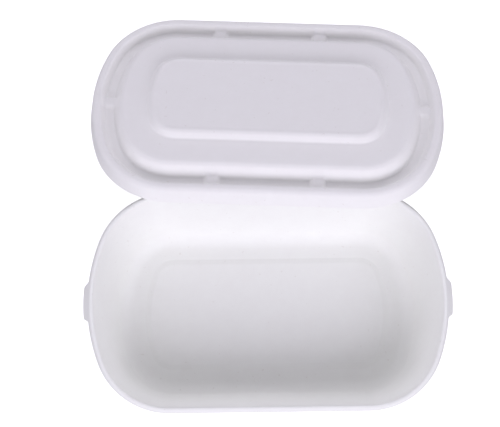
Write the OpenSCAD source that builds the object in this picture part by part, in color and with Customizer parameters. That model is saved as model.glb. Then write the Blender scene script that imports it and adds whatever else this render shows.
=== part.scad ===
// Take-away food container of pressed plant fibre: an open tray with its lid
// leaning on the back rim. Millimetres, +Z up, the tray's foot centred on the origin.

/* [Outline] */
// Width over the edge of the tray's lip
rim_w = 200; // [170:0.5:240]
// Depth over the edge of the tray's lip
rim_d = 124.5; // [105:0.5:150]
// Radius of the four corners at the edge of the lip
corner_r = 42.45; // [38:0.05:52]
// Thickness of the pressed sheet
sheet_t = 0.8; // [0.6:0.05:1.2]

/* [Tray] */
// Height of the rim's crest above the table
tray_h = 43.5; // [34:0.5:60]
// Width of the lip's outer slope
lip_slope_w = 1.4; // [1.2:0.1:3.5]
// How far the lip's edge hangs below the crest
lip_drop = 2; // [0.6:0.1:2.5]
// Width of the crest between the outer slope and the wall
crest_w = 1.6; // [1.2:0.1:4]
// How far the wall runs inward from the crest to the foot
wall_run = 14.2; // [8:0.1:16]
// Radius of the bend from wall to foot
foot_bend_r = 9; // [6:0.5:16]
// Width of the foot and its bends, from the wall's line to the floor panel
foot_w = 15.6; // [14:0.1:20]
// How far the floor panel stands above the foot
floor_rise = 0.5; // [0.3:0.1:3]
// Width of the slope from the foot up to the floor panel
floor_slope_w = 3; // [1.5:0.1:4]
// Width of a thumb tab where it leaves the lip
tab_root_w = 23.5; // [16:0.5:32]
// Width of a thumb tab at its tip
tab_tip_w = 15.5; // [8:0.5:20]
// Reach of a thumb tab past the lip
tab_reach = 2.6; // [1.5:0.1:3]

/* [Lid] */
// How far the lid's edge stands outside the tray's lip
lid_margin = 3.1; // [2.6:0.1:5]
// Height of the ridge above the lid's edge
ridge_h = 10.6; // [8:0.1:13]
// How far the skirt runs inward from its edge to the ridge
skirt_run = 1.7; // [1:0.1:3]
// Width of the ridge that covers the tray's rim
ridge_w = 4.6; // [4:0.1:6]
// Depth of the groove below the ridge
groove_depth = 4.8; // [2:0.1:5.5]
// Width of the slope from the ridge down to the groove
groove_slope_w = 2.7; // [1.5:0.1:4]
// Width of the groove's floor
groove_w = 4.9; // [4:0.1:7]
// How far the plateau stands above the ridge
plateau_rise = 2.5; // [1.5:0.1:5]
// Width of the slope from the groove up to the plateau
plateau_slope_w = 4.5; // [2:0.1:6]
// Width of the plateau around the top panel
plateau_w = 16.9; // [12:0.1:18]
// How far the top panel stands above the plateau
panel_rise = 4; // [1.5:0.1:5]
// Width of the slope from the plateau up to the top panel
panel_slope_w = 3; // [2:0.1:5]
// Distance of the stacking lugs of a long side from its middle
lug_x = 29.7; // [15:0.1:45]
// Width of a stacking lug, half way up its ramps
lug_w = 7.6; // [6:0.1:12]
// Run of the ramp at each end of a lug
lug_ramp = 3; // [2:0.1:4]
// Height of a lug above the floor of the groove
lug_h = 1.9; // [1.2:0.1:2]

/* [Lid at rest] */
// How far the lid's near edge reaches in over the tray from the back lip
lid_overlap = 9.5; // [6:0.5:14]
// Sideways shift of the lid's near edge
lid_shift = -1.5; // [-5:0.5:5]
// Turn of the lid about the vertical, in degrees
lid_turn = -2.8; // [-6:0.1:6]
// Gap between the lid's edge and the rim and table that it leans on
rest_gap = 0.25; // [0.1:0.05:0.5]

/* [Hidden] */
$fn = 96;
// Flat pieces that stand for each rounded bend of a section
bend_steps = 5;
// Grid on which the points of a section lie
grid = 0.001;
// Steps in which the lid's lean settles
settle_steps = 12;
// Overrun of every cut
over = 1;
// Radii of the bends: floor panel, skirt, groove, plateau, foot and edge of the top panel
floor_bend_r = 2.4;
skirt_bend_r = 2.6;
groove_bend_r = 1.3;
plateau_bend_r = 3.5;
panel_foot_bend_r = 1.5;
panel_bend_r = 3;
// Radius of the rim's round, as a share of the crest that has to hold it
crest_round_share = 0.72;
lip_bend_r = crest_w * crest_round_share;
// Level part of a panel that its bend needs before the flat sheet starts
panel_lead = 2.5;

// Direction in which a corner arc runs into the bulging end arc, as shares of a unit length
join_shares = [0.936, 0.352];
join_angle = atan2(join_shares[1], join_shares[0]);
// Centres of the corner and end arcs, shared by every ring of the tray and the lid
corner_y = rim_d / 2 - corner_r;
end_r = corner_r + corner_y / join_shares[1];
end_x = rim_w / 2 - end_r;
corner_x = end_x + (end_r - corner_r) * join_shares[0];

// Section of the tray from lip edge to floor panel: inset from the lip, height, bend radius
crest_in = lip_slope_w + crest_w;
foot_in = crest_in + wall_run;
rise_in = foot_in + foot_w - floor_slope_w;
floor_in = foot_in + foot_w;
floor_z = sheet_t + floor_rise;
tray_path = [
    [0, tray_h - lip_drop, 0],
    [lip_slope_w, tray_h, lip_bend_r],
    [crest_in, tray_h, lip_bend_r],
    [foot_in, sheet_t, foot_bend_r],
    [rise_in, sheet_t, floor_bend_r],
    [floor_in, floor_z, floor_bend_r],
    [floor_in + panel_lead, floor_z, 0]
];

// Section of the lid from skirt edge to top panel: inset from the skirt's edge, height, bend radius
ridge_in = skirt_run + ridge_w;
groove_in = ridge_in + groove_slope_w;
plug_in = groove_in + groove_w;
plateau_in = plug_in + plateau_slope_w;
slope_in = plateau_in + plateau_w;
panel_in = slope_in + panel_slope_w;
groove_z = ridge_h - groove_depth;
plateau_z = ridge_h + plateau_rise;
panel_z = plateau_z + panel_rise;
lid_path = [
    [0, 0, 0],
    [skirt_run, ridge_h, skirt_bend_r],
    [ridge_in, ridge_h, groove_bend_r],
    [groove_in, groove_z, groove_bend_r],
    [plug_in, groove_z, groove_bend_r],
    [plateau_in, plateau_z, plateau_bend_r],
    [slope_in, plateau_z, panel_foot_bend_r],
    [panel_in, panel_z, panel_bend_r],
    [panel_in + panel_lead, panel_z, 0]
];
lid_d = rim_d + 2 * lid_margin;
lid_w = rim_w + 2 * lid_margin;

// Unit vector from point a to point b of a path
function along(a, b) = [b[0] - a[0], b[1] - a[1]] / norm([b[0] - a[0], b[1] - a[1]]);
// The same vector turned a quarter to the left, which is the upper side of the sheet
function left_of(u) = [-u[1], u[0]];
function turn_between(u, v) = atan2(u[0] * v[1] - u[1] * v[0], u * v);

// Points of one bend, lifted by lift along the sheet's upper normal
function bend(a, b, c, lift) =
    let (u = along(a, b), v = along(b, c), turn = turn_between(u, v), side = sign(turn))
    let (start = [b[0], b[1]] - u * b[2] * tan(abs(turn) / 2))
    let (centre = start + left_of(u) * side * b[2])
    [for (i = [0 : bend_steps]) let (q = turn * i / bend_steps)
        centre - (side * b[2] - lift) * (left_of(u) * cos(q) - u * sin(q))];

// One face of the sheet, from the first point of a path to its last
function face(path, lift) = let (last = len(path) - 1) [
    [path[0][0], path[0][1]] + lift * left_of(along(path[0], path[1])),
    for (i = [1 : 1 : last - 1]) each bend(path[i - 1], path[i], path[i + 1], lift),
    [path[last][0], path[last][1]] + lift * left_of(along(path[last - 1], path[last]))
];
function on_grid(v) = round(v / grid) * grid;
function reversed(list) = [for (i = [len(list) - 1 : -1 : 0]) list[i]];

// Closed section of the sheet along a path, mirrored so that it lies inward of radius
module section(path, radius) {
    both = concat(face(path, 0), reversed(face(path, -sheet_t)));
    polygon([for (p = both) [radius - on_grid(p[0]), on_grid(p[1])]]);
}

// Its child, a section, run along the X axis over length
module bar(length)
    rotate([90, 0, 90]) translate([0, 0, -length / 2]) linear_extrude(length) children();

// Wedges that cut the turned sections off where they join: the end arc between its two joints, and a
// corner arc from its joint to the long side
module end_wedge() linear_extrude(rim_w, center = true)
    polygon([[0, 0], rim_w * join_shares, [rim_w, 0], [rim_w * join_shares[0], -rim_w * join_shares[1]]]);
module corner_wedge() linear_extrude(rim_w, center = true)
    polygon([[0, 0], rim_w * join_shares, [rim_w, rim_w], [-over, rim_w], [-over, 0]]);

// Section swept once around the outline grown by margin
module ring(path, margin) {
    for (back = [0, 1]) mirror([0, back, 0]) {
        bar(2 * corner_x) section(path, rim_d / 2 + margin);
        for (far = [0, 1]) mirror([far, 0, 0]) translate([corner_x, corner_y, 0]) intersection() {
            rotate_extrude(angle = 90) section(path, corner_r + margin);
            corner_wedge();
        }
    }
    for (far = [0, 1]) mirror([far, 0, 0]) translate([end_x, 0, 0]) intersection() {
        rotate([0, 0, -90]) rotate_extrude(angle = 180) section(path, end_r + margin);
        end_wedge();
    }
}

// Flat shape inside the outline shrunk by inset
module flat(inset) {
    join = [end_x, 0] + (end_r - inset) * join_shares;
    half = [[corner_x, rim_d / 2 - inset], join, [join[0], -join[1]], [corner_x, inset - rim_d / 2]];
    polygon(concat(half, [for (p = half) -p]));
    for (sx = [-1, 1], sy = [-1, 1])
        translate([sx * corner_x, sy * corner_y]) circle(corner_r - inset);
    for (far = [0, 1]) mirror([far, 0]) intersection() {
        translate([end_x, 0]) circle(end_r - inset);
        translate([join[0], -join[1]]) square([rim_w / 2, 2 * join[1]]);
    }
}

// Thumb tab that carries the lip's slope on past its edge, at the +X end
module tab() {
    slope = lip_drop / lip_slope_w;
    strip = [[-tab_reach, tray_h - lip_drop - slope * tab_reach, 0], [0, tray_h - lip_drop, 0]];
    root_x = rim_w / 2 - lip_slope_w;
    tip_x = rim_w / 2 + tab_reach + over;
    intersection() {
        translate([end_x, 0, 0]) rotate([0, 0, -join_angle])
            rotate_extrude(angle = 2 * join_angle) section(strip, end_r);
        linear_extrude(tray_h) polygon([
            [root_x, -tab_root_w / 2], [tip_x, -tab_tip_w / 2],
            [tip_x, tab_tip_w / 2], [root_x, tab_root_w / 2]
        ]);
    }
}

module tray() color("whitesmoke") {
    ring(tray_path, 0);
    translate([0, 0, floor_z - sheet_t]) linear_extrude(sheet_t) flat(floor_in + panel_lead / 2);
    for (far = [0, 1]) mirror([far, 0, 0]) tab();
}

// Section of a stacking lug across the groove: its edges end inside the sheet
lug_z = groove_z + lug_h;
lug_seat = sheet_t / 2;
function at_height(a, b, z) = a[0] + (b[0] - a[0]) * (z - a[1]) / (b[1] - a[1]);
lug_out = at_height(lid_path[2], lid_path[3], lug_z) - lug_seat;
lug_in = at_height(lid_path[4], lid_path[5], lug_z) + lug_seat;
lug_points = [
    [lug_out, lug_z], [groove_in, groove_z - lug_seat], [plug_in, groove_z - lug_seat], [lug_in, lug_z]
];
// Section of the hollow that the press leaves under a lug
hollow_top = lug_z - sheet_t;
hollow_foot = groove_z - sheet_t - over;
hollow_points = [
    [groove_in + sheet_t, hollow_top], [groove_in + sheet_t, hollow_foot],
    [plug_in - sheet_t, hollow_foot], [plug_in - sheet_t, hollow_top]
];
// Half the length of a lug along the groove, on its ramps at a height
function lug_half(z) = lug_w / 2 + lug_ramp / 2 - lug_ramp * (z - groove_z) / lug_h;

// A lug's section run along X and cut to its ramps, which are lowered by drop
module ramped(points, drop) {
    low = min([for (p = points) p[1]]);
    high = max([for (p = points) p[1]]);
    foot = lug_half(low + drop);
    head = lug_half(high + drop);
    intersection() {
        bar(2 * foot) polygon([for (p = points) [-p[0], p[1]]]);
        rotate([90, 0, 0]) linear_extrude(plateau_in)
            polygon([[-foot, low], [foot, low], [head, high], [-head, high]]);
    }
}

// Puts its child, made for the middle of a long side, at all six lugs
module at_lugs() {
    for (x = [-lug_x, lug_x], back = [0, 1]) mirror([0, back, 0]) translate([x, lid_d / 2, 0]) children();
    for (far = [0, 1]) mirror([far, 0, 0]) translate([lid_w / 2, 0, 0]) rotate([0, 0, -90]) children();
}

// The lid lying flat: edge of the skirt on z = 0, top face up
module lid_flat() {
    difference() {
        union() {
            ring(lid_path, lid_margin);
            at_lugs() ramped(lug_points, 0);
        }
        at_lugs() ramped(hollow_points, sheet_t);
    }
    translate([0, 0, panel_z - sheet_t]) linear_extrude(sheet_t)
        flat(panel_in + panel_lead / 2 - lid_margin);
}

// How far a point of the table's plane lies inside the edge of the tray's lip
function inset_at(x, y) =
    x <= corner_x ? rim_d / 2 - y
    : atan2(y, x - end_x) < join_angle ? end_r - norm([x - end_x, y])
    : corner_r - norm([x - corner_x, y - corner_y]);
// Height of the rim's upper face at an inset, 0 outside it
function rim_top(inset) =
    inset < 0 ? 0
    : inset < lip_slope_w ? tray_h - lip_drop * (1 - inset / lip_slope_w)
    : inset < crest_in ? tray_h
    : max(0, tray_h - (inset - crest_in) * tray_h / wall_run);

// Points of one side of the skirt's edge that pass over the back rim, with the lid flat and its near
// edge on y = 0
function near_edge(side) = [for (rim = [0, sheet_t], q = [0 : 90 - join_angle])
    let (r = corner_r + lid_margin - rim)
    [side * (corner_x + r * sin(q)), corner_r + lid_margin - r * cos(q)]];
// Height that the near edge needs so that this point of it clears the rim, at a given lean
function seat_at(p, lean) =
    let (x = lid_shift + p[0] * cos(lid_turn) - p[1] * cos(lean) * sin(lid_turn))
    let (y = rim_d / 2 - lid_overlap + p[0] * sin(lid_turn) + p[1] * cos(lean) * cos(lid_turn))
    rest_gap + rim_top(inset_at(abs(x), abs(y))) + p[1] * sin(lean);
// Where one side of the edge comes to lie on the rim: distance from the lid's middle, and height
function seat(side, lean) =
    let (edge = near_edge(side), heights = [for (p = edge) seat_at(p, lean)], top = max(heights))
    [edge[search(top, heights)[0]][0], top];
// Sideways slope of the lid between its two seats, and height of the near edge's middle
function side_slope(lean) = let (l = seat(-1, lean), r = seat(1, lean)) (r[1] - l[1]) / (r[0] - l[0]);
function near_z(lean) = let (l = seat(-1, lean)) l[1] - l[0] * side_slope(lean);
// The lean at which the lid lies on both seats with its lower far corner on the table
function settled(lean, steps) = steps <= 0 ? lean
    : let (far_z = rest_gap + abs(side_slope(lean)) * corner_x)
        settled(asin((near_z(lean) - far_z) / lid_d), steps - 1);
lid_lean = settled(0, settle_steps);

module lid() color("white")
    translate([lid_shift, rim_d / 2 - lid_overlap, near_z(lid_lean)])
        rotate([0, 0, lid_turn]) rotate([0, -atan(side_slope(lid_lean)), 0]) rotate([-lid_lean, 0, 0])
            translate([0, lid_d / 2, 0]) lid_flat();

tray();
lid();
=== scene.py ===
# %% [markdown]
# A take-away food container of pressed plant fibre: an open tray, and its loose lid leaning on the back
# rim. Both are one thin sheet each, pressed between two heated moulds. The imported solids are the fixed
# frame, and this lesson builds a finer sheet over each of them and gives it the look of matt white fibre.

# %% The fixed frame
import math

import bmesh
import bpy
from mathutils import Matrix, Quaternion, Vector


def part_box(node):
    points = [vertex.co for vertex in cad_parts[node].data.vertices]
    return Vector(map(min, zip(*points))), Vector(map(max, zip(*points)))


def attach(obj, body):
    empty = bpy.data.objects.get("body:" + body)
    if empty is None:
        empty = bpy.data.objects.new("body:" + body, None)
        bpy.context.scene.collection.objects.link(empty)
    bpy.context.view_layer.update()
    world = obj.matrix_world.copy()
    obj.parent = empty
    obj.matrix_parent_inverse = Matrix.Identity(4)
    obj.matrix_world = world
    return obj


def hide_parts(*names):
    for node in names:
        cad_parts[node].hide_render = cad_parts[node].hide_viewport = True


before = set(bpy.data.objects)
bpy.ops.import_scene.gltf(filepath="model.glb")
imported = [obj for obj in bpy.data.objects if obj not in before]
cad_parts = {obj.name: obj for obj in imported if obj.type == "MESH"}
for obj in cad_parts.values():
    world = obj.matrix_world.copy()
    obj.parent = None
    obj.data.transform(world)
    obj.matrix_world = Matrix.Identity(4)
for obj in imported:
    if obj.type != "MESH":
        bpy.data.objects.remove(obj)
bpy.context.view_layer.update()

# %% [markdown]
# Camera. The photograph looks steeply down from the front, so that the tray's floor and the lid's top
# show almost in plan. A camera could be placed by eye, but the outlines of tray and lid are known curves,
# so its distance, its angles and its focal length were fitted to them and are stated here as plain
# numbers.

# %% Camera
MM = 0.001
IMAGE_WIDTH = 500
SENSOR_WIDTH = 36
look_at = Vector((-9.4, 48.35, 45)) * MM
view_distance = 800 * MM
view_azimuth = math.radians(-1.27)
view_elevation = math.radians(75.08)
view_roll = math.radians(0.5)
focal_pixels = 1432


def direction(azimuth, elevation):
    """Unit vector towards a place seen from the object; azimuth 0 is the front, positive to the right."""
    return Vector((math.sin(azimuth) * math.cos(elevation),
                   -math.cos(azimuth) * math.cos(elevation),
                   math.sin(elevation)))


back = direction(view_azimuth, view_elevation)
camera_data = bpy.data.cameras.new("camera")
camera_data.sensor_width = SENSOR_WIDTH
camera_data.lens = focal_pixels / IMAGE_WIDTH * SENSOR_WIDTH
camera = bpy.data.objects.new("camera", camera_data)
camera.location = look_at + back * view_distance
camera.rotation_mode = "QUATERNION"
camera.rotation_quaternion = back.to_track_quat("Z", "Y") @ Quaternion((0, 0, 1), view_roll)
bpy.context.scene.collection.objects.link(camera)
bpy.context.scene.camera = camera
print("camera at", [round(x, 3) for x in camera.location], "lens", round(camera_data.lens, 1), "mm")

# %% [markdown]
# Outline. The rings of the tray and of the lid run parallel to one outline: straight long sides, round
# corners and ends that bulge a little. Only the lid's top panel departs from it, further below. A quarter
# of it is an end arc, a corner arc and half a long side, so the rings can be made by spinning a section
# round two centres and running it straight, then mirroring twice.

# %% Outline
tray_low, tray_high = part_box("tray")
tab_reach = 2.6 * MM
rim_w = tray_high.x - tray_low.x - 2 * tab_reach
rim_d = tray_high.y - tray_low.y
sheet_t = 0.8 * MM
corner_r = 42.45 * MM
JOIN_SHARES = (0.936, 0.352)

join_angle = math.atan2(JOIN_SHARES[1], JOIN_SHARES[0])
corner_y = rim_d / 2 - corner_r
end_r = corner_r + corner_y / math.sin(join_angle)
end_x = rim_w / 2 - end_r
corner_x = end_x + (end_r - corner_r) * math.cos(join_angle)
end_centre = (end_x, 0, 0)
corner_centre = (corner_x, corner_y, 0)
print("rim", round(rim_w / MM, 2), "by", round(rim_d / MM, 2), "mm, end radius", round(end_r / MM, 2), "mm")

# %% [markdown]
# Section. Pressed fibre has no sharp bends, because the wet sheet is drawn over the mould's radii. A
# section is therefore a short list of corner points, each with its bend radius. A vertex bevel with a
# profile of 0.5 turns such a corner into a round bend, which keeps the list as short as a drawing's. Each
# vertex remembers how far inside the edge it lies, and spin copies that, so that a ring can be found
# again later.

# %% Section wire
BEND_STEPS = 8
LONGEST_STEP = 4 * MM


def section_wire(bm, path, reach):
    """Wire of a sheet's upper face at the +X end; path holds inset, height and bend radius in mm."""
    verts = [bm.verts.new((reach - inset * MM, 0, height * MM)) for inset, height, radius in path]
    for start, end in zip(verts, verts[1:]):
        bm.edges.new((start, end))
    for vert, (inset, height, radius) in zip(verts, path):
        if radius:
            arms = [edge.other_vert(vert).co - vert.co for edge in vert.link_edges]
            half_turn = (math.pi - arms[0].angle(arms[1])) / 2
            bmesh.ops.bevel(bm, geom=[vert], offset=radius * MM * math.tan(half_turn), offset_type="OFFSET",
                            segments=BEND_STEPS, profile=0.5, affect="VERTICES", material=-1)
    for edge in [edge for edge in bm.edges if edge.calc_length() > LONGEST_STEP]:
        bmesh.ops.subdivide_edges(bm, edges=[edge], cuts=int(edge.calc_length() / LONGEST_STEP))
    inset_layer = bm.verts.layers.float.new("inset")
    for vert in bm.verts:
        vert[inset_layer] = (reach - vert.co.x) / MM
    print("section wire of", len(bm.verts), "points")
    return bm.verts[:] + bm.edges[:]


# %% [markdown]
# Rings. Spin with an angle makes an arc, and spin with an angle of zero and a shift makes a straight
# stretch, so one operator lays the whole quarter. Where a detail sits on the ring, such as a lug, the
# stretch is split there, so that the detail gets edges of its own.

# %% Quarter of a ring
def turned(centre, angle, steps):
    return {"cent": centre, "angle": angle, "dvec": (0, 0, 0), "steps": steps}


def straight(length, steps):
    return {"cent": (0, 0, 0), "angle": 0, "dvec": (-length / steps, 0, 0), "steps": steps}


def lay_quarter(bm, wire, stretches):
    last = wire
    for stretch in stretches:
        last = bmesh.ops.spin(bm, geom=last, axis=(0, 0, 1), **stretch)["geom_last"]


# %% [markdown]
# Middle. Inside the last ring the sheet is a level panel. A single face could fill it, but long thin
# corners shade badly, so the ring's inner edge is extruded row by row towards the long axis. Each row
# keeps a share of the distance that the row before it had, and the last row lies on the axis itself.

# %% Level panel and mirror
PANEL_ROWS = (0.75, 0.6, 0.4, 0)
WELD = 0.001 * MM


def fresh_row(grown):
    """Vertices and edges that an extrusion of edges has just made."""
    verts = {item for item in grown if isinstance(item, bmesh.types.BMVert)}
    edges = [item for item in grown if isinstance(item, bmesh.types.BMEdge) and verts.issuperset(item.verts)]
    return verts, edges


def close_panel(bm):
    inset_layer = bm.verts.layers.float["inset"]
    deepest = max(vert[inset_layer] for vert in bm.verts) - WELD / MM
    row = [edge for edge in bm.edges if all(vert[inset_layer] > deepest for vert in edge.verts)]
    for keep in PANEL_ROWS:
        verts, row = fresh_row(bmesh.ops.extrude_edge_only(bm, edges=row)["geom"])
        bmesh.ops.scale(bm, vec=(1, keep, 1), verts=list(verts))


def mirror_quarter(bm):
    for axis in "XY":
        bmesh.ops.mirror(bm, geom=bm.verts[:] + bm.edges[:] + bm.faces[:], matrix=Matrix.Identity(4),
                         merge_dist=WELD, axis=axis)
    bmesh.ops.remove_doubles(bm, verts=bm.verts[:], dist=WELD)
    bmesh.ops.dissolve_degenerate(bm, edges=bm.edges[:], dist=WELD)
    bmesh.ops.recalc_face_normals(bm, faces=bm.faces[:])
    widest = max(bm.faces, key=lambda face: face.calc_area())
    if widest.normal.z < 0:
        bmesh.ops.reverse_faces(bm, faces=bm.faces[:])


# %% [markdown]
# Thickness. The sheet is the same thickness everywhere, so solidify gives each upper face its lower one.
# The trimmed edge is then two sharp corners, and a small bevel takes them off, as on the cut fibre. The
# lower faces are marked, because the press leaves them rougher than the upper ones, and the finish needs
# to know.

# %% Thickness
EDGE_ROUND = 0.25 * MM
EDGE_SEGMENTS = 3
SHARP = math.radians(55)


def thicken(bm):
    under_layer = bm.faces.layers.int.new("under")
    upper = set(bm.faces)
    bmesh.ops.solidify(bm, geom=bm.faces[:], thickness=sheet_t)
    for face in bm.faces:
        face[under_layer] = face not in upper
    bm.normal_update()
    trimmed = [edge for edge in bm.edges if edge.is_manifold and edge.calc_face_angle() > SHARP]
    bmesh.ops.bevel(bm, geom=trimmed, offset=EDGE_ROUND, offset_type="OFFSET", segments=EDGE_SEGMENTS,
                    profile=0.5, affect="EDGES", material=-1, clamp_overlap=True)
    for face in bm.faces:
        face.smooth = True


# %% [markdown]
# Piece. A finished sheet becomes an object at the origin, with its place in its mesh. Before it is moved
# there, each point keeps its place in the mould as an attribute, so that the fibre's pattern lies in the
# sheet and doesn't change when the sheet leans.

# %% Piece
def finish_piece(bm, name, node, place):
    """Turns a bmesh into a piece of the object, which stands for one node of the frame."""
    in_mould = bm.verts.layers.float_vector.new("in_mould")
    for vert in bm.verts:
        vert[in_mould] = vert.co
    bmesh.ops.transform(bm, matrix=place, verts=bm.verts[:])
    mesh = bpy.data.meshes.new(name)
    bm.to_mesh(mesh)
    bm.free()
    piece = bpy.data.objects.new(name, mesh)
    bpy.context.scene.collection.objects.link(piece)
    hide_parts(node)
    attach(piece, "root")
    print(name, len(mesh.polygons), "faces")
    return piece


# %% [markdown]
# Tray. Its section runs from the trimmed lip over the round crest of the rim, down the drafted wall,
# through the foot's wide bend and up onto a floor panel that is raised by less than a millimetre. All of
# it is one sheet, so it is one list, from the outside in. The sizes are those of the solid that it stands
# for.

# %% Tray section
lip_slope_w = 1.4
lip_drop = 2
crest_w = 1.6
crest_bend = 1.15
wall_run = 14.2
foot_bend = 9
foot_w = 15.6
floor_rise = 0.5
floor_slope_w = 3
floor_bend = 2.4
panel_lead = 2

thick = sheet_t / MM
height = tray_high.z / MM
crest_in = lip_slope_w + crest_w
foot_in = crest_in + wall_run
floor_in = foot_in + foot_w
tray_path = [
    (0, height - lip_drop, 0),
    (lip_slope_w, height, crest_bend),
    (crest_in, height, crest_bend),
    (foot_in, thick, foot_bend),
    (floor_in - floor_slope_w, thick, floor_bend),
    (floor_in, thick + floor_rise, floor_bend),
    (floor_in + panel_lead, thick + floor_rise, 0),
]
print("tray section of", len(tray_path), "corners, floor panel", round(floor_in, 2), "mm inside the lip")

# %% [markdown]
# Thumb tabs. In the middle of each end the lip runs on outward as a small tab, to lift the lid by. It
# could be a piece of its own, but on the real tray it is the same sheet. So the lip's own edge is
# extruded a few times there, and each new row goes outward and down the lip's slope, less and less
# towards the tab's flanks.

# %% Tab drawn from the lip
TAB_HALF_ROOT = 11.7 * MM
TAB_HALF_TIP = 8.7 * MM
TAB_ROWS = 3
tab_angle = math.asin(TAB_HALF_ROOT / end_r)


def smooth_step(x):
    x = min(max(x, 0), 1)
    return x * x * (3 - 2 * x)


def draw_tab(bm):
    inset_layer = bm.verts.layers.float["inset"]
    lip = [edge for edge in bm.edges
           if all(vert[inset_layer] < WELD / MM and vert.co.x > corner_x and vert.co.y < TAB_HALF_ROOT + WELD
                  for vert in edge.verts)]
    outward = Vector((lip_slope_w, 0, -lip_drop)) / lip_slope_w * tab_reach / TAB_ROWS
    print("half a tab from", len(lip), "edges of the lip")
    for _ in range(TAB_ROWS):
        verts, lip = fresh_row(bmesh.ops.extrude_edge_only(bm, edges=lip)["geom"])
        for vert in verts:
            vert.co += outward * smooth_step((TAB_HALF_ROOT - vert.co.y) / (TAB_HALF_ROOT - TAB_HALF_TIP))


# %% [markdown]
# Tray sheet. The press forms the whole tray in one stroke. It could be laid all round, but its four
# quarters are alike, so only one is laid: two arcs, the first of them split at the tab, and half a long
# side. Then come the floor panel, the tab, the mirrors and the thickness.

# %% Tray sheet
TAB_STEPS = 16
END_STEPS = 10
CORNER_STEPS = 36
SIDE_STEPS = 24

bm = bmesh.new()
wire = section_wire(bm, tray_path, rim_w / 2)
lay_quarter(bm, wire, [
    turned(end_centre, tab_angle, TAB_STEPS),
    turned(end_centre, join_angle - tab_angle, END_STEPS),
    turned(corner_centre, math.pi / 2 - join_angle, CORNER_STEPS),
    straight(corner_x, SIDE_STEPS),
])
close_panel(bm)
draw_tab(bm)
mirror_quarter(bm)
thicken(bm)
tray = finish_piece(bm, "tray_sheet", "tray", Matrix.Identity(4))

# %% [markdown]
# Lid. Its section climbs from the skirt's edge to the ridge that covers the tray's rim, dips into the
# groove that grips the rim from inside, and rises over a round shoulder to the plateau and then to the
# top panel. The panel dips a little inside its own edge, which catches the light as a fine line in the
# photograph.

# %% Lid section
lid_margin = 3.1
ridge_h = 10.6
skirt_run = 1.7
skirt_bend = 2.6
ridge_bend = 1.6
ridge_w = 4.6
groove_depth = 4.8
groove_slope_w = 2.7
groove_w = 4.9
groove_bend = 1.3
plateau_rise = 2.5
plateau_slope_w = 4.5
plateau_bend = 3.5
plateau_w = 16.9
panel_rise = 4
panel_slope_w = 3
panel_foot_bend = 1.5
panel_bend = 3
dip_w = 2.6
dip = 0.35

ridge_in = skirt_run + ridge_w
groove_in = ridge_in + groove_slope_w
plug_in = groove_in + groove_w
plateau_in = plug_in + plateau_slope_w
slope_in = plateau_in + plateau_w
panel_in = slope_in + panel_slope_w
groove_z = ridge_h - groove_depth
plateau_z = ridge_h + plateau_rise
panel_z = plateau_z + panel_rise
lid_path = [
    (0, 0, 0),
    (skirt_run, ridge_h, skirt_bend),
    (ridge_in, ridge_h, ridge_bend),
    (groove_in, groove_z, groove_bend),
    (plug_in, groove_z, groove_bend),
    (plateau_in, plateau_z, plateau_bend),
    (slope_in, plateau_z, panel_foot_bend),
    (panel_in, panel_z, panel_bend),
    (panel_in + dip_w, panel_z - dip, panel_bend),
    (panel_in + dip_w + panel_lead, panel_z - dip, 0),
]
print("lid section of", len(lid_path), "corners, top panel", round(panel_in, 2), "mm inside the edge")

# %% [markdown]
# Stacking lugs. Six low bridges cross the groove, two on each long side and one at each end, so that
# stacked lids don't wedge into each other. The press raises them from the same sheet. So they aren't
# added: the groove's own points are lifted there, with soft ramps along the groove.

# %% Lugs raised from the groove
lug_x = 29.7 * MM
lug_w = 7.6 * MM
lug_ramp = 3 * MM
lug_h = 1.9
lug_z = (groove_z + lug_h) * MM


def raise_lugs(bm):
    inset_layer = bm.verts.layers.float["inset"]
    for vert in bm.verts:
        from_side_lug = abs(vert.co.x - lug_x)
        from_end_lug = vert.co.y if vert.co.x > corner_x else math.inf
        past = min(from_side_lug, from_end_lug) - lug_w / 2
        if ridge_in < vert[inset_layer] < plateau_in and vert.co.z < lug_z:
            vert.co.z += (lug_z - vert.co.z) * smooth_step(0.5 - past / lug_ramp)


# %% [markdown]
# Round panel. The top panel's corners are rounder than those of a ring parallel to the edge, and it
# reaches a little nearer to the ends. A second outline would need a second set of rings and a seam.
# Instead the points across the plateau are drawn over, more and more, to a rounder corner arc that
# touches the same end arc and long side, and a slight stretch along the lid does the rest.

# %% Panel drawn rounder and longer
PANEL_ROUNDER = 5 * MM
PANEL_STRETCH = 0.03
lid_edge = lid_margin * MM
round_r = corner_r + PANEL_ROUNDER
round_y = rim_d / 2 - round_r
round_x = end_x + math.sqrt((end_r - round_r) ** 2 - round_y ** 2)
print("corner radius of the panel", round((round_r + lid_edge) / MM - panel_in, 2), "mm")


def shape_panel(bm):
    inset_layer = bm.verts.layers.float["inset"]
    for vert in bm.verts:
        drawn = smooth_step((vert[inset_layer] - plateau_in) / plateau_w)
        from_round = Vector((vert.co.x - round_x, vert.co.y - round_y, 0))
        past_end_arc = vert.co.y * (round_x - end_x) > (vert.co.x - end_x) * round_y
        if from_round.x > 0 and past_end_arc:
            radius = round_r + lid_edge - vert[inset_layer] * MM
            vert.co += (from_round.normalized() * radius - from_round) * drawn
        vert.co.x *= 1 + PANEL_STRETCH * drawn


# %% [markdown]
# Lid sheet. It is laid like the tray's, from the same centres with the lid's margin added. The stretches
# are split where a lug's flat top and its ramps begin and end, so that the ramps stay as short as they
# are on the lid.

# %% Lid sheet
HALF_LUG_STEPS = 3
LUG_STEPS = 4
RAMP_STEPS = 6
LID_END_STEPS = 14
OUTER_SIDE_STEPS = 8
INNER_SIDE_STEPS = 10

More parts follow.
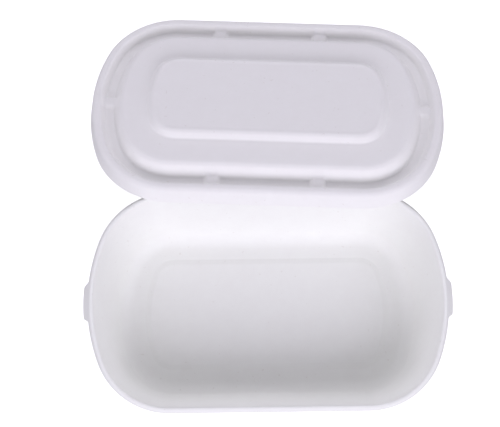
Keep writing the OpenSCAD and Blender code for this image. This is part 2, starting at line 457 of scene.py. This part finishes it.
lug_flat = lug_w - lug_ramp
lid_end_r = end_r + lid_edge
flat_angle = lug_flat / 2 / lid_end_r
ramp_angle = lug_ramp / lid_end_r
bm = bmesh.new()
wire = section_wire(bm, lid_path, rim_w / 2 + lid_edge)
lay_quarter(bm, wire, [
    turned(end_centre, flat_angle, HALF_LUG_STEPS),
    turned(end_centre, ramp_angle, RAMP_STEPS),
    turned(end_centre, join_angle - flat_angle - ramp_angle, LID_END_STEPS),
    turned(corner_centre, math.pi / 2 - join_angle, CORNER_STEPS),
    straight(corner_x - lug_x - lug_flat / 2 - lug_ramp, OUTER_SIDE_STEPS),
    straight(lug_ramp, RAMP_STEPS),
    straight(lug_flat, LUG_STEPS),
    straight(lug_ramp, RAMP_STEPS),
    straight(lug_x - lug_flat / 2 - lug_ramp, INNER_SIDE_STEPS),
])
raise_lugs(bm)
shape_panel(bm)
close_panel(bm)
mirror_quarter(bm)
thicken(bm)
lid_lowest = min(vert.co.z for vert in bm.verts)

# %% [markdown]
# Place of the lid. The lid leans on the tray's back rim with its far edge on the table, a little turned.
# Its place could be typed in as angles, but the solid lid already lies there. Its largest upward face
# gives the lid's up direction, its largest steep face gives the direction of the long sides, and its
# reach along these directions gives the middle.

# %% Place of the lid
STEEP_SHARE = 0.5
lid_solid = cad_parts["lid"].data
lid_up = max((face for face in lid_solid.polygons if face.normal.z > 0), key=lambda face: face.area).normal
steep = [face for face in lid_solid.polygons if abs(face.normal.dot(lid_up)) < STEEP_SHARE]
lid_right = max(steep, key=lambda face: face.area).normal.cross(lid_up).normalized()
if lid_right.x < 0:
    lid_right.negate()
lid_back = lid_up.cross(lid_right)


def reach_along(axis):
    places = [vert.co.dot(axis) for vert in lid_solid.vertices]
    return min(places), max(places)


lid_place = Matrix((lid_right, lid_back, lid_up)).transposed().to_4x4()
lid_place.translation = (lid_right * sum(reach_along(lid_right)) / 2
                         + lid_back * sum(reach_along(lid_back)) / 2
                         + lid_up * (reach_along(lid_up)[0] - lid_lowest))
print("lid leans", round(math.degrees(lid_up.angle(Vector((0, 0, 1)))), 2), "degrees")
lid = finish_piece(bm, "lid_sheet", "lid", lid_place)

# %% [markdown]
# Shader arithmetic. A finish is a sum of a few patterns, and a sum reads best as a sum. This small class
# wraps an output socket, so that + - * on it add Math nodes. Every other node comes from its one node
# method: the type, then the settings, then the values or links of the sockets.

# %% Wire between shader nodes
class Wire:
    def __init__(self, tree, socket=None):
        self.tree = tree
        self.socket = socket

    def node(self, kind, settings, sockets, out=0):
        fresh = self.tree.nodes.new(kind)
        for name, value in settings.items():
            setattr(fresh, name, value)
        for name, value in sockets.items():
            if isinstance(value, Wire):
                self.tree.links.new(value.socket, fresh.inputs[name])
            else:
                fresh.inputs[name].default_value = value
        return Wire(self.tree, fresh.outputs[out])

    def math(self, operation, first, second):
        return self.node("ShaderNodeMath", {"operation": operation}, {0: first, 1: second})

    def __add__(self, other):
        return self.math("ADD", self, other)

    def __radd__(self, other):
        return self.math("ADD", other, self)

    def __sub__(self, other):
        return self.math("SUBTRACT", self, other)

    def __rsub__(self, other):
        return self.math("SUBTRACT", other, self)

    def __mul__(self, other):
        return self.math("MULTIPLY", self, other)

    def __rmul__(self, other):
        return self.math("MULTIPLY", other, self)

    def feed(self, socket):
        self.tree.links.new(self.socket, socket)


# %% [markdown]
# Fibre. Bleached cane or straw pulp, pressed hot: matt, off-white, smooth to the hand but never quite
# even. From a step away it is a calm white; closer, the pulp has settled in soft clouds, short fibres lie
# felted in the surface, and a few tan flecks are left. The lower side keeps the weave of the forming
# screen. Noise at several sizes makes these, because the sheet has no grain of its own direction to
# follow. The tray reads a shade warmer than the lid, so each has its own pulp colour.

# %% Fibre finish
TRAY_PULP = (0.885, 0.9, 0.848, 1)
LID_PULP = (0.886, 0.888, 0.855, 1)
THIN = (0.82, 0.81, 0.77, 1)
FLECK = (0.42, 0.34, 0.24, 1)
CLOUD_SIZE = 9 * MM
FLOCK_SIZE = 2.4 * MM
FIBRE_SIZE = 1.1 * MM
GRAIN_SIZE = 0.3 * MM
FLECK_SIZE = 1.6 * MM
FIBRE_CURL = 1.2
FLECK_FROM = 0.8
FLECK_TO = 0.86
FLECK_SHARE = 0.12
SCREEN_PITCH = 0.7 * MM
# A wave texture of scale 1 turns by 20 radians in each unit of length
WAVE_TURN = 2 * math.pi / 20
RELIEF = 0.035 * MM
GLOSS = 0.3


def fibre(name, pulp):
    material = bpy.data.materials.new(name)
    material.use_nodes = True
    shader = material.node_tree.nodes["Principled BSDF"]
    shader.inputs["Specular IOR Level"].default_value = GLOSS
    net = Wire(material.node_tree)
    spot = net.node("ShaderNodeAttribute", {"attribute_name": "in_mould"}, {}, "Vector")
    under = net.node("ShaderNodeAttribute", {"attribute_name": "under"}, {}, "Fac")

    def noise(size, detail, kind="FBM", distortion=0):
        return net.node("ShaderNodeTexNoise", {"noise_type": kind},
                        {"Vector": spot, "Scale": 1 / size, "Detail": detail, "Distortion": distortion})

    def weave(axis):
        return net.node("ShaderNodeTexWave", {"bands_direction": axis},
                        {"Vector": spot, "Scale": WAVE_TURN / SCREEN_PITCH})

    def mixed(share, first, second):
        # Inputs 6 and 7 of a Mix node are its two colours, and output 2 is their mixture
        return net.node("ShaderNodeMix", {"data_type": "RGBA"}, {0: share, 6: first, 7: second}, 2)

    clouds = noise(CLOUD_SIZE, 2)
    flocks = noise(FLOCK_SIZE, 3)
    fibres = noise(FIBRE_SIZE, 2, "RIDGED_MULTIFRACTAL", FIBRE_CURL)
    grain = noise(GRAIN_SIZE, 1)
    flecks = net.node("ShaderNodeMapRange", {"interpolation_type": "SMOOTHSTEP"},
                      {"Value": noise(FLECK_SIZE, 0), "From Min": FLECK_FROM, "From Max": FLECK_TO})
    # How far each pattern thins the pulp, dulls the surface and lifts it: shares of the whole effect
    thin = clouds * 0.35 + flocks * 0.25 + fibres * 0.04 - 0.12
    mixed(flecks * FLECK_SHARE, mixed(thin, pulp, THIN), FLECK).feed(shader.inputs["Base Color"])
    (0.7 + flocks * 0.2 + under * 0.06).feed(shader.inputs["Roughness"])
    felt = fibres * 0.3 + grain * 0.3 + flocks * 0.4 + under * (weave("X") * weave("Y") + grain * 0.4)
    net.node("ShaderNodeBump", {}, {"Strength": 1, "Distance": RELIEF, "Height": felt}).feed(
        shader.inputs["Normal"])
    print(name, len(material.node_tree.nodes), "nodes")
    return material


tray.data.materials.append(fibre("tray_fibre", TRAY_PULP))
lid.data.materials.append(fibre("lid_fibre", LID_PULP))

# %% [markdown]
# Stage. The photograph shows the container on plain white, with hardly a shadow. A wide floor stands in
# for the white table, and a glow of its own keeps it white up to the object. A floor that bright would
# also light the object from below, which the photograph doesn't show, so it is hidden from diffuse light.

# %% Floor
FLOOR_HALF = 30
FLOOR_DROP = 0.05 * MM
FLOOR_COLOUR = (0.8, 0.8, 0.8, 1)
FLOOR_ROUGHNESS = 0.9
FLOOR_GLOW = 0.8

floor_bm = bmesh.new()
bmesh.ops.create_grid(floor_bm, x_segments=1, y_segments=1, size=FLOOR_HALF)
bmesh.ops.translate(floor_bm, vec=(0, 0, -FLOOR_DROP), verts=floor_bm.verts[:])
floor_mesh = bpy.data.meshes.new("floor")
floor_bm.to_mesh(floor_mesh)
floor_bm.free()
floor = bpy.data.objects.new("floor", floor_mesh)
bpy.context.scene.collection.objects.link(floor)
floor.visible_diffuse = False
pale = bpy.data.materials.new("pale_floor")
pale.use_nodes = True
pale_shader = pale.node_tree.nodes["Principled BSDF"]
pale_shader.inputs["Base Color"].default_value = FLOOR_COLOUR
pale_shader.inputs["Roughness"].default_value = FLOOR_ROUGHNESS
pale_shader.inputs["Emission Color"].default_value = (1, 1, 1, 1)
pale_shader.inputs["Emission Strength"].default_value = FLOOR_GLOW
floor.data.materials.append(pale)
print("floor", 2 * FLOOR_HALF, "m wide")

# %% [markdown]
# Light. A white object on white shows only through its shading, so the light decides the picture. One
# large lamp would leave the walls dull. The photograph's even walls speak for a light tent, so a ring of
# softboxes of one size stands round the object, stronger in front, with a faint fill from all sides. The
# light is slightly cool, as the photograph's is, and the warm pulp takes that back where light bounces
# inside the tray.

# %% Softboxes
TINT = (0.903, 0.87, 1.0)
FILL = 0.365
SOFTBOX_SIZE = 0.6
SOFTBOX_DISTANCE = 1.4
aim = Vector((0, 60, 30)) * MM
softboxes = {
    "front": (0, 36, 7.2),
    "front_left": (-45, 35, 3.1),
    "front_right": (45, 35, 5.0),
    "left": (-90, 15, 2.1),
    "right": (90, 15, 1.15),
    "back": (180, 25, 6.5),
}
for name, (azimuth, elevation, watts) in softboxes.items():
    away = direction(math.radians(azimuth), math.radians(elevation))
    box_data = bpy.data.lights.new(name, "AREA")
    box_data.size = SOFTBOX_SIZE
    box_data.energy = watts
    box_data.color = TINT
    box = bpy.data.objects.new(name, box_data)
    box.location = aim + away * SOFTBOX_DISTANCE
    box.rotation_mode = "QUATERNION"
    box.rotation_quaternion = away.to_track_quat("Z", "Y")
    box.visible_camera = False
    bpy.context.scene.collection.objects.link(box)
world = bpy.data.worlds.new("studio")
world.use_nodes = True
world.node_tree.nodes["Background"].inputs["Color"].default_value = (*TINT, 1)
world.node_tree.nodes["Background"].inputs["Strength"].default_value = FILL
bpy.context.scene.world = world
bpy.context.scene.view_settings.view_transform = "Standard"
print(len(softboxes), "softboxes,", round(sum(watts for _, _, watts in softboxes.values()), 1), "W in all")
